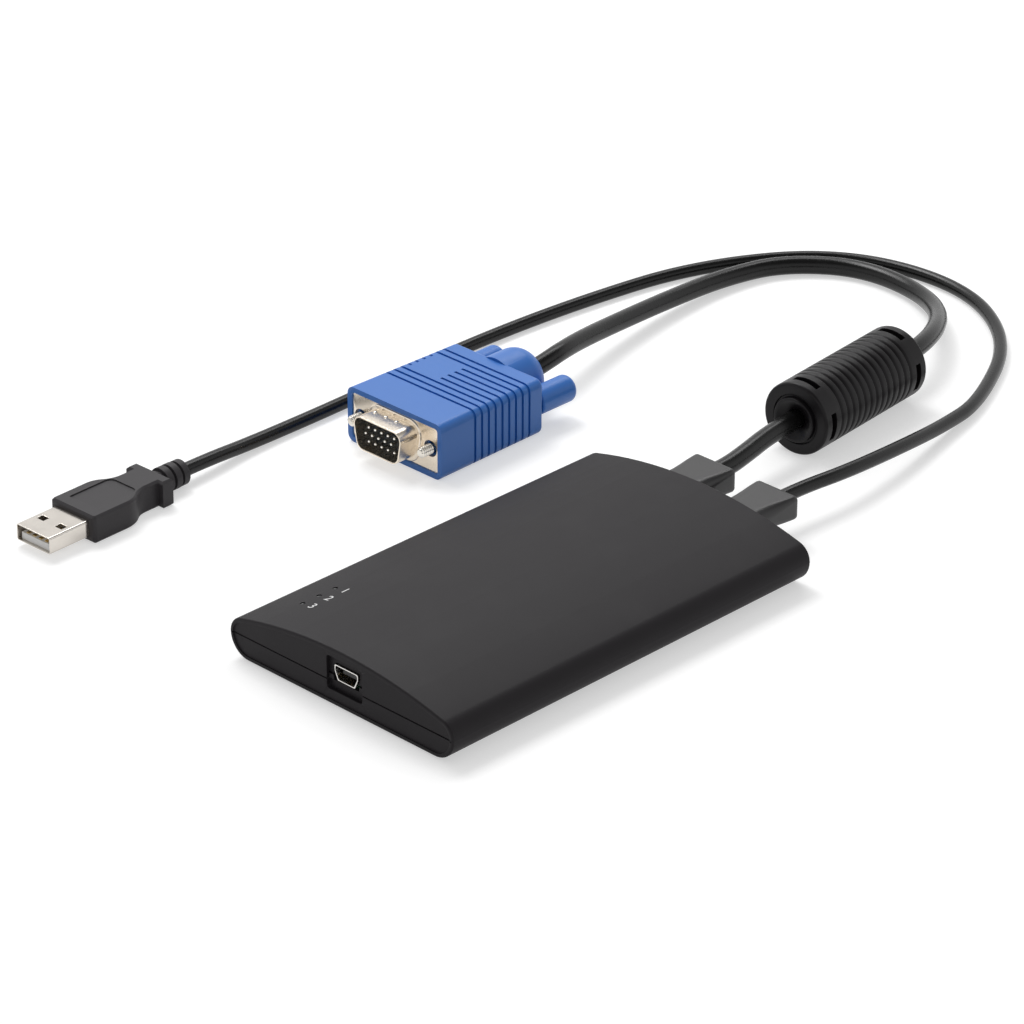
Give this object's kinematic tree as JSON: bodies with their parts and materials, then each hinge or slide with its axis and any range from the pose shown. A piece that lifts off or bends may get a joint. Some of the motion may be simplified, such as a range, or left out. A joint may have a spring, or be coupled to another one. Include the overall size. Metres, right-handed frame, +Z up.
{
  "type": "crash cart adapter",
  "caption": "Slim console box with an attached VGA lead and choke, an attached USB-A lead and a mini USB socket, for reaching a server from a laptop.",
  "frame": {"origin": "on the ground below the middle of the box, in the plane that the rubber feet rest on", "axes": "+Z up, +Y along the box to the end where the two leads come out, +X to the right seen from the mini USB end"},
  "size_m": [0.1532, 0.2759, 0.0195],
  "materials": {
    "case_plastic": "soft-touch, near black grey",
    "foot_rubber": "matt",
    "screw_steel": "zinc plated",
    "board_laminate": "green solder mask",
    "chip_resin": "matt moulding compound",
    "crystal_can": "satin",
    "inductor_resin": "matt",
    "capacitor_can": "satin",
    "header_plastic": "natural nylon",
    "inner_sheath": "satin",
    "light_clear": "clear",
    "socket_steel": "nickel plated",
    "socket_black": "matt",
    "contact_gold": "gold plated",
    "cable_black": "satin extruded PVC",
    "boot_black": "fine textured PVC",
    "choke_black": "satin moulded",
    "choke_ferrite": "dull sintered ferrite",
    "plug_blue": "satin moulded",
    "plug_nickel": "nickel plated steel",
    "insulator_dark": "matt",
    "pin_plated": "plated",
    "usb_tongue_plastic": "matt",
    "usb_black": "satin moulded"
  },
  "bodies": {
    "adapter": {"top_cover": "case_plastic", "bottom_cover": "case_plastic", "case_screws": "screw_steel", "rubber_feet": "foot_rubber", "circuit_board": "board_laminate", "main_processor": "chip_resin", "video_converter_chip": "chip_resin", "memory_chip": "chip_resin", "clock_crystal": "crystal_can", "power_inductor": "inductor_resin", "filter_capacitors": "capacitor_can", "vga_board_header": "header_plastic", "usb_board_header": "header_plastic", "vga_inner_lead": "inner_sheath", "usb_inner_lead": "inner_sheath", "status_leds": "light_clear", "light_pipes": "light_clear", "mini_usb_shell": "socket_steel", "mini_usb_insert": "socket_black", "mini_usb_contacts": "contact_gold", "vga_cable_boot": "boot_black", "usb_cable_boot": "boot_black", "vga_cable": "cable_black", "usb_cable": "cable_black", "ferrite_core": "choke_ferrite", "ferrite_sleeve": "choke_black", "vga_hood": "plug_blue", "vga_front_shell": "plug_nickel", "vga_rear_shell": "plug_nickel", "vga_insulator": "insulator_dark", "vga_pins": "pin_plated", "usb_plug_shell": "plug_nickel", "usb_plug_tongue": "usb_tongue_plastic", "usb_plug_contacts": "contact_gold", "usb_plug_body": "usb_black"},
    "left_thumbscrew": {"vga_jackscrew_left": "plug_nickel", "vga_knob_left": "plug_blue"},
    "right_thumbscrew": {"vga_jackscrew_right": "plug_nickel", "vga_knob_right": "plug_blue"}
  },
  "joints": [
    {"name": "left_thumbscrew_turn", "type": "hinge", "parent": "adapter", "child": "left_thumbscrew", "pos_m": [-0.0938, 0.0732, 0.0077], "axis": [0, 1, 0], "continuous": true},
    {"name": "right_thumbscrew_turn", "type": "hinge", "parent": "adapter", "child": "right_thumbscrew", "pos_m": [-0.0688, 0.0732, 0.0077], "axis": [0, 1, 0], "continuous": true}
  ]
}
